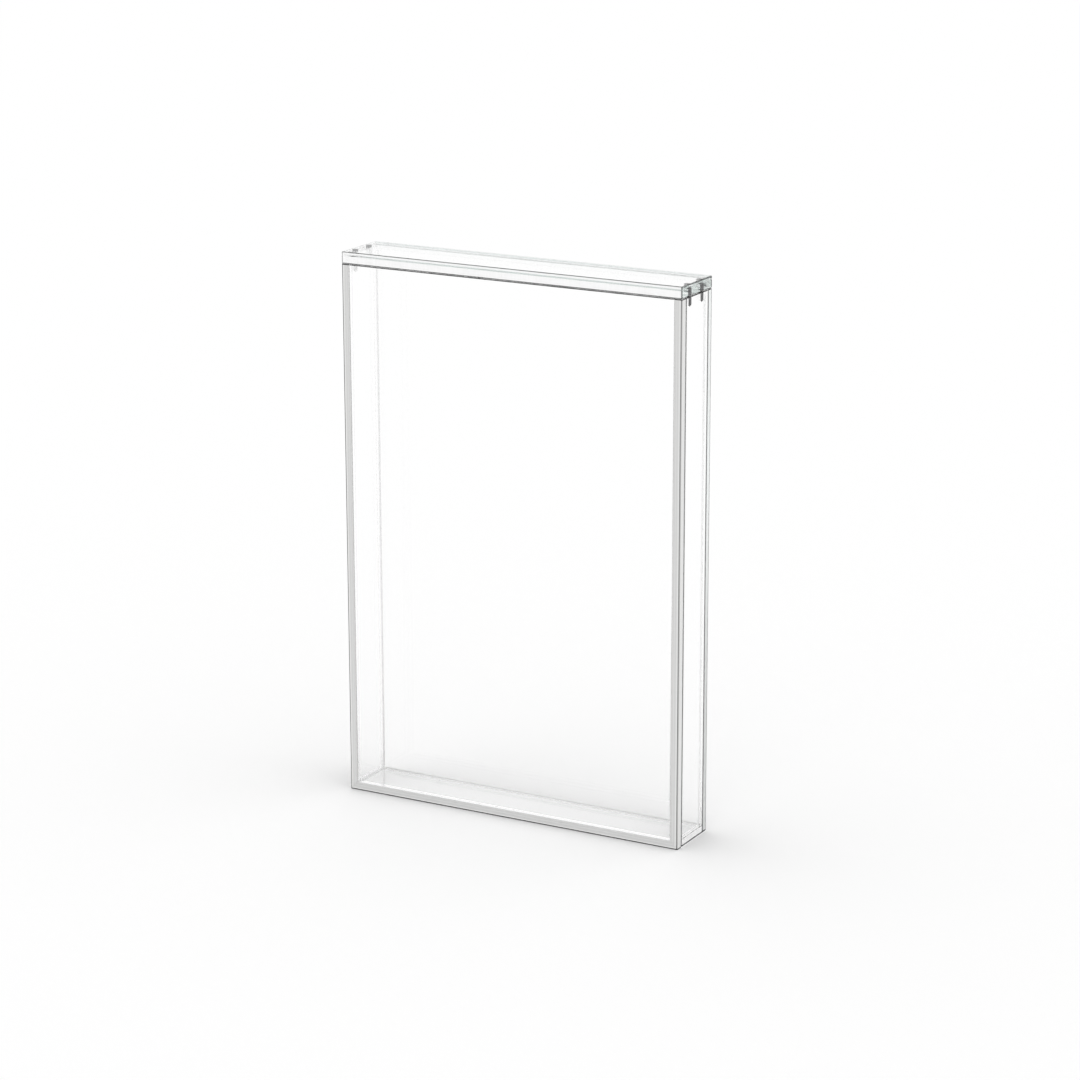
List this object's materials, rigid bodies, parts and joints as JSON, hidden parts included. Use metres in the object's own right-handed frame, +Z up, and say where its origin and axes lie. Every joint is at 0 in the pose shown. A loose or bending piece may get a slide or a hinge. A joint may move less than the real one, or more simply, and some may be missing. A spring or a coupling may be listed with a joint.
{
  "type": "manga display case",
  "caption": "Slim clear acrylic case that stands upright and shows one comic volume, with a framed front window and a magnetic lift-off lid.",
  "frame": {"origin": "under the middle of the case, on the surface it stands on", "axes": "+Z up towards the lid, the front window faces -Y, +X to the right as seen from the front"},
  "size_m": [0.134, 0.0226, 0.2],
  "materials": {
    "clear_sheet": "polished clear cast acrylic sheet with broken edges",
    "satin_rail": "satin translucent acrylic strip",
    "lid_sheet": "polished clear cast acrylic sheet with milled long edges",
    "magnet": "dark coating over a neodymium rod magnet"
  },
  "bodies": {
    "case": {"front_window": "clear_sheet", "back_panel": "clear_sheet", "side_panel_left": "clear_sheet", "side_panel_right": "clear_sheet", "bottom_panel": "clear_sheet", "front_rail_left": "satin_rail", "front_rail_right": "satin_rail", "front_rail_bottom": "satin_rail", "wall_magnet_left_front": "magnet", "wall_magnet_left_back": "magnet", "wall_magnet_right_front": "magnet", "wall_magnet_right_back": "magnet"},
    "lid": {"lid_plate": "lid_sheet", "lid_cover": "lid_sheet", "lid_magnet_left_front": "magnet", "lid_magnet_left_back": "magnet", "lid_magnet_right_front": "magnet", "lid_magnet_right_back": "magnet"}
  },
  "joints": [
    {"name": "lid_lift", "type": "slide", "parent": "case", "child": "lid", "axis": [0, 0, 1], "range_m": [0, 0.1]}
  ]
}
